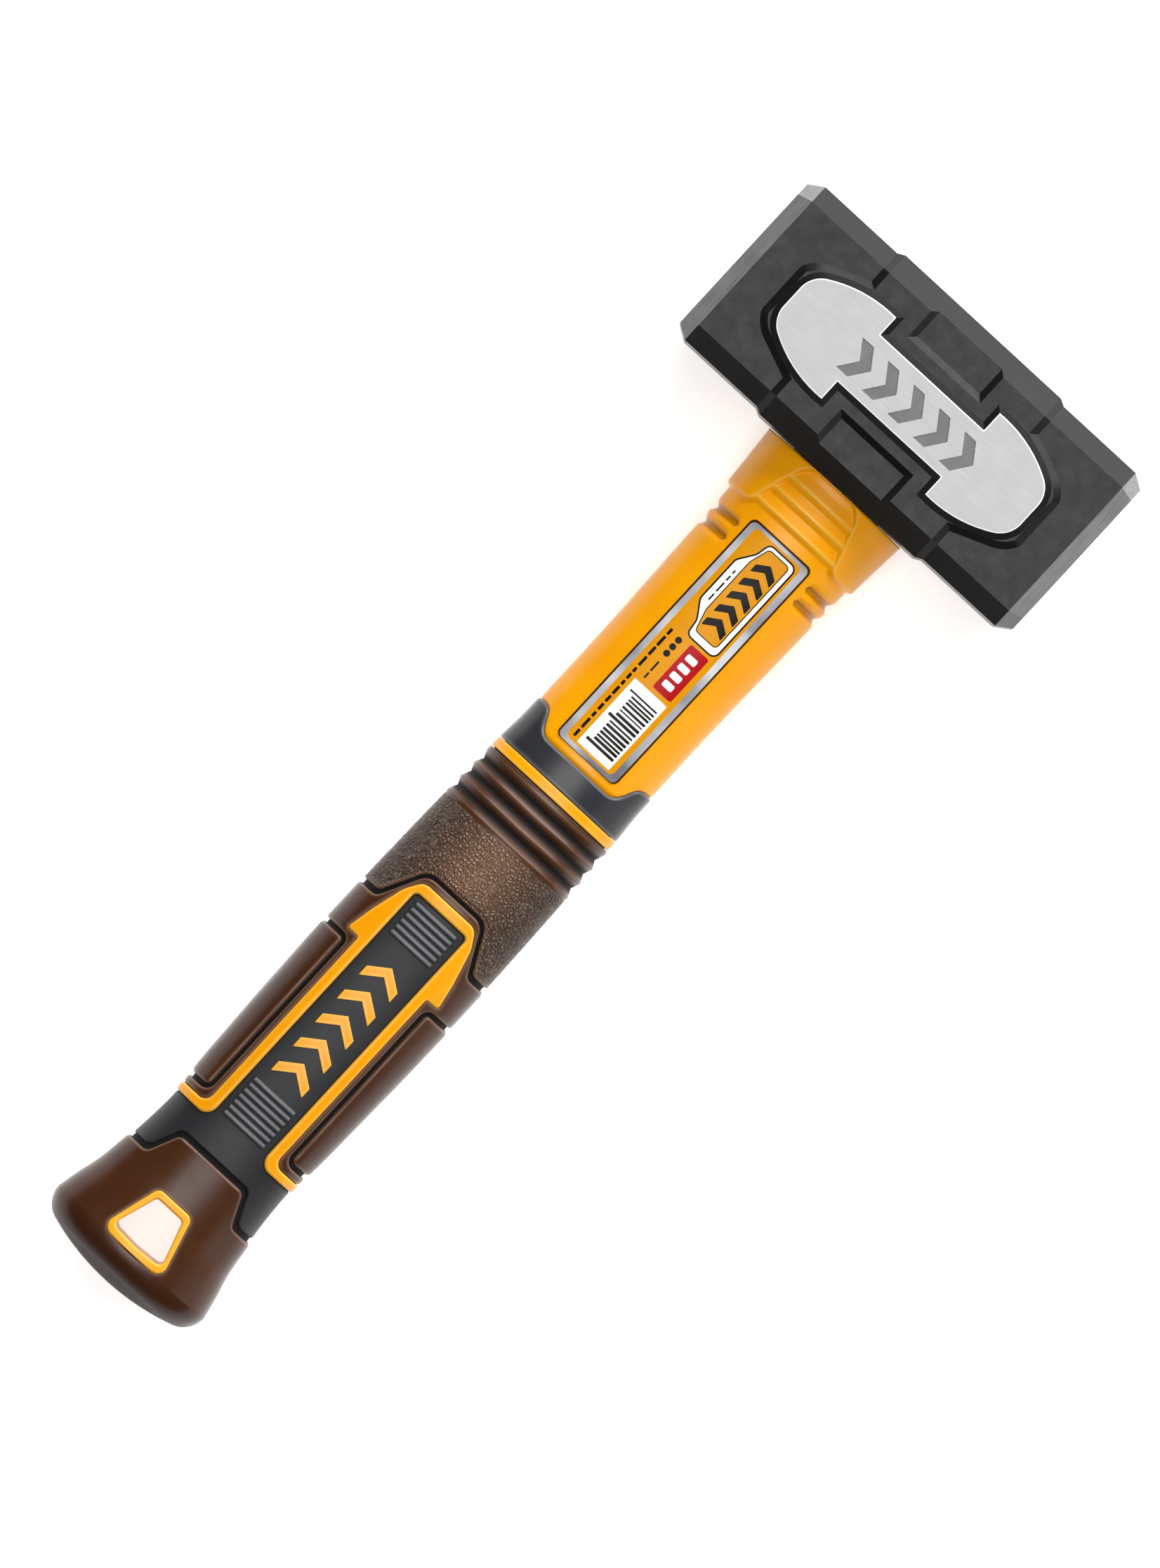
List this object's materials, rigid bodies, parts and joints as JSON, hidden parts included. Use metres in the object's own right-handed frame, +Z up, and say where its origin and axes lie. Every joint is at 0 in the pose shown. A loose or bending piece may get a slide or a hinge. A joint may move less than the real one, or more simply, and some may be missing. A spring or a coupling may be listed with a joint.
{
  "type": "club hammer",
  "caption": "Two-faced forged club hammer with a raised bright plate on each side and an oval handle in a hard jacket and soft grip.",
  "frame": {"origin": "on the surface the hammer lies on, under the middle of its bounding box", "axes": "+X along the head, +Y along the handle towards the head, +Z up out of the front of the hammer as it lies on its back"},
  "size_m": [0.103, 0.2954, 0.0506],
  "materials": {
    "black_paint": "satin",
    "bright_plate": "satin",
    "fibreglass": "matte",
    "resin": "gloss",
    "yellow_plastic": "semi-gloss",
    "label_film": "gloss",
    "grey_rubber": "matte",
    "brown_rubber": "satin"
  },
  "bodies": {
    "root": {"head": "black_paint", "emblem_plate_front": "bright_plate", "emblem_plate_back": "bright_plate", "fibreglass_core": "fibreglass", "eye_resin": "resin", "handle_jacket": "yellow_plastic", "label": "label_film", "grip_collar": "grey_rubber", "trim_ring": "yellow_plastic", "grip_body": "grey_rubber", "trim_frame": "yellow_plastic", "grip_frame": "brown_rubber", "grip_sleeve": "brown_rubber", "side_pad_left": "brown_rubber", "side_pad_right": "brown_rubber", "butt_cap": "brown_rubber", "hang_eyelet": "yellow_plastic", "grip_marks_front": "yellow_plastic", "grip_marks_back": "yellow_plastic"}
  },
  "joints": []
}
